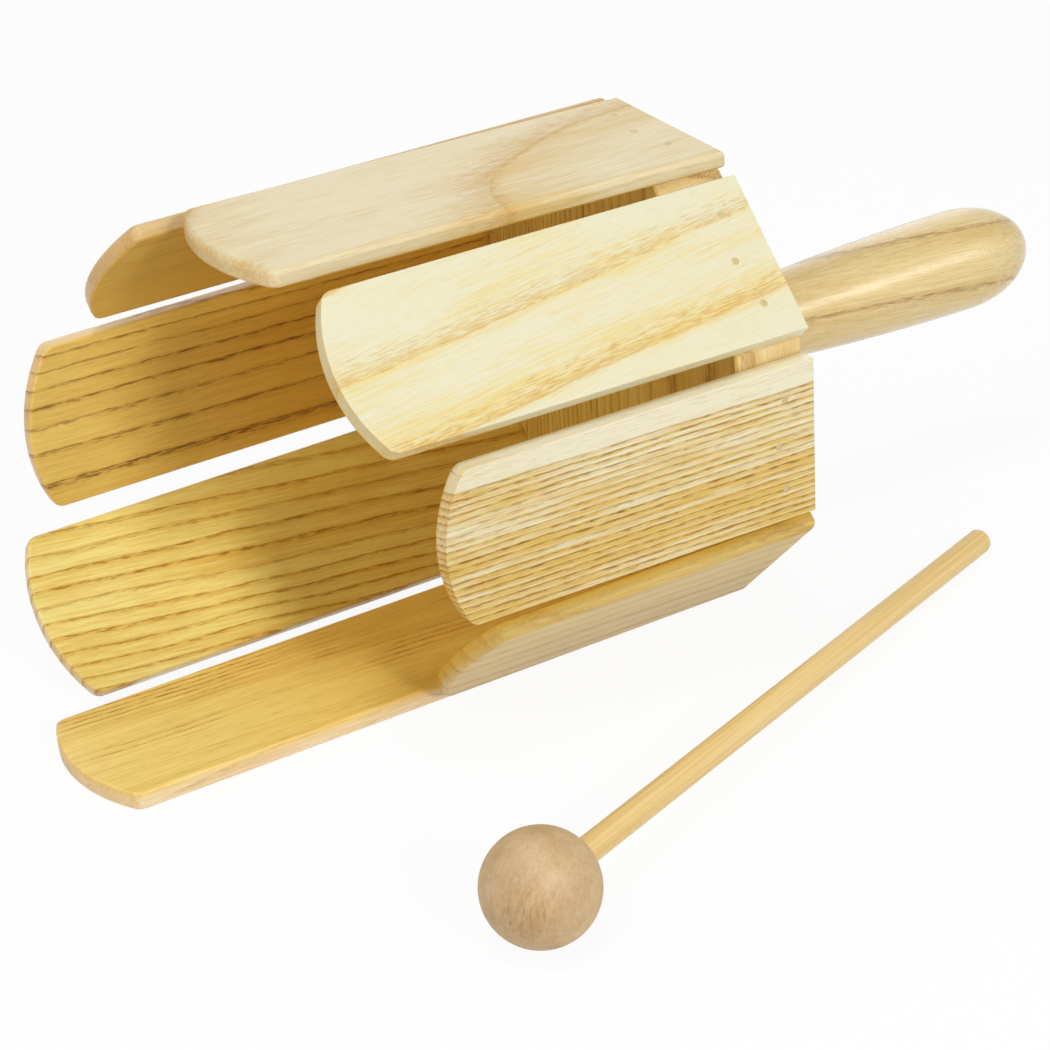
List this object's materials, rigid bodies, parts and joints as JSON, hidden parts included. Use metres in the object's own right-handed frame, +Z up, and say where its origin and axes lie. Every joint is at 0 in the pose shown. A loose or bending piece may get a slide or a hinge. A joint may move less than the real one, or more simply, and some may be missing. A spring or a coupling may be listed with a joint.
{
  "type": "stirring drum with beater",
  "caption": "Wooden stirring drum: flat ash tongues of falling length set in a ring round an octagonal block with a turned handle, and a loose ball-headed beater.",
  "frame": {"origin": "on the outer face of the longest tongue, which the drum rests on, straight below the front face of the block", "axes": "+X along the drum's axis towards the handle, +Z up, away from the table"},
  "size_m": [0.2897, 0.2012, 0.1246],
  "materials": {
    "tongue_wood": "clear satin lacquer on pale ash",
    "block_wood": "clear satin lacquer on pale hardwood",
    "handle_wood": "clear gloss lacquer on turned ash",
    "ball_wood": "bare sanded beech",
    "stick_wood": "bare straight-grained stick",
    "nail_steel": "plain brad, dulled"
  },
  "bodies": {
    "drum": {"tongue_1": "tongue_wood", "tongue_2": "tongue_wood", "tongue_3": "tongue_wood", "tongue_4": "tongue_wood", "tongue_5": "tongue_wood", "tongue_6": "tongue_wood", "tongue_7": "tongue_wood", "tongue_8": "tongue_wood", "end_block": "block_wood", "handle": "handle_wood", "nail_1_left": "nail_steel", "nail_1_middle": "nail_steel", "nail_1_right": "nail_steel", "nail_2_left": "nail_steel", "nail_2_middle": "nail_steel", "nail_2_right": "nail_steel", "nail_3_left": "nail_steel", "nail_3_middle": "nail_steel", "nail_3_right": "nail_steel", "nail_4_left": "nail_steel", "nail_4_middle": "nail_steel", "nail_4_right": "nail_steel", "nail_5_left": "nail_steel", "nail_5_middle": "nail_steel", "nail_5_right": "nail_steel", "nail_6_left": "nail_steel", "nail_6_middle": "nail_steel", "nail_6_right": "nail_steel", "nail_7_left": "nail_steel", "nail_7_middle": "nail_steel", "nail_7_right": "nail_steel", "nail_8_left": "nail_steel", "nail_8_middle": "nail_steel", "nail_8_right": "nail_steel"},
    "beater": {"beater_ball": "ball_wood", "beater_stick": "stick_wood"}
  },
  "joints": [
    {"name": "beater_lift", "type": "slide", "parent": "drum", "child": "beater", "axis": [0, 0, 1], "range_m": [0, 0.15]}
  ]
}
